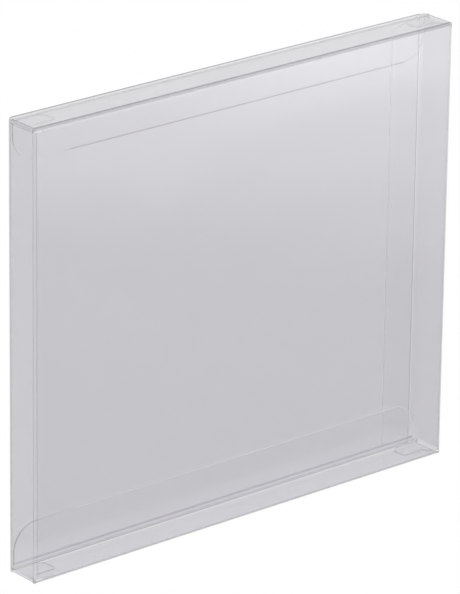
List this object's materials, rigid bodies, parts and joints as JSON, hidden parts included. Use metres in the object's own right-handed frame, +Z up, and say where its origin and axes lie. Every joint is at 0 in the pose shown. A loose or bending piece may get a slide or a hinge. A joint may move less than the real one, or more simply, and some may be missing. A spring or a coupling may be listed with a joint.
{
  "type": "game box protector",
  "caption": "Clear folding film box with a tuck lid at each end, for keeping one slim game case from scuffs and dust.",
  "frame": {"origin": "middle of the base, on the surface that the box stands on", "axes": "+X across the front panel to the viewer's right, +Y from the front panel to the back panel, +Z up from the bottom lid to the top lid"},
  "size_m": [0.1446, 0.0116, 0.1275],
  "materials": {
    "clear_film": "gloss"
  },
  "bodies": {
    "sleeve": {"sleeve": "clear_film"},
    "top_lid": {"top_lid": "clear_film"},
    "top_tuck": {"top_tuck_flap": "clear_film"},
    "bottom_lid": {"bottom_lid": "clear_film"},
    "bottom_tuck": {"bottom_tuck_flap": "clear_film"}
  },
  "joints": [
    {"name": "top_lid_crease", "type": "hinge", "parent": "sleeve", "child": "top_lid", "pos_m": [0, -0.00575, 0.1262], "axis": [1, 0, 0], "range_deg": [0, 135], "deforming": ["top_tuck_flap"]},
    {"name": "top_tuck_crease", "type": "hinge", "parent": "top_lid", "child": "top_tuck", "pos_m": [0, 0.0051, 0.1262], "axis": [-1, 0, 0], "range_deg": [0, 67.5]},
    {"name": "bottom_lid_crease", "type": "hinge", "parent": "sleeve", "child": "bottom_lid", "pos_m": [0, -0.00575, 0.0013], "axis": [-1, 0, 0], "range_deg": [0, 135], "deforming": ["bottom_tuck_flap"]},
    {"name": "bottom_tuck_crease", "type": "hinge", "parent": "bottom_lid", "child": "bottom_tuck", "pos_m": [0, 0.0051, 0.0013], "axis": [1, 0, 0], "range_deg": [0, 67.5]}
  ],
  "couplings": [
    {"joint": "top_tuck_crease", "follows": "top_lid_crease", "ratio": 0.5},
    {"joint": "bottom_tuck_crease", "follows": "bottom_lid_crease", "ratio": 0.5}
  ]
}
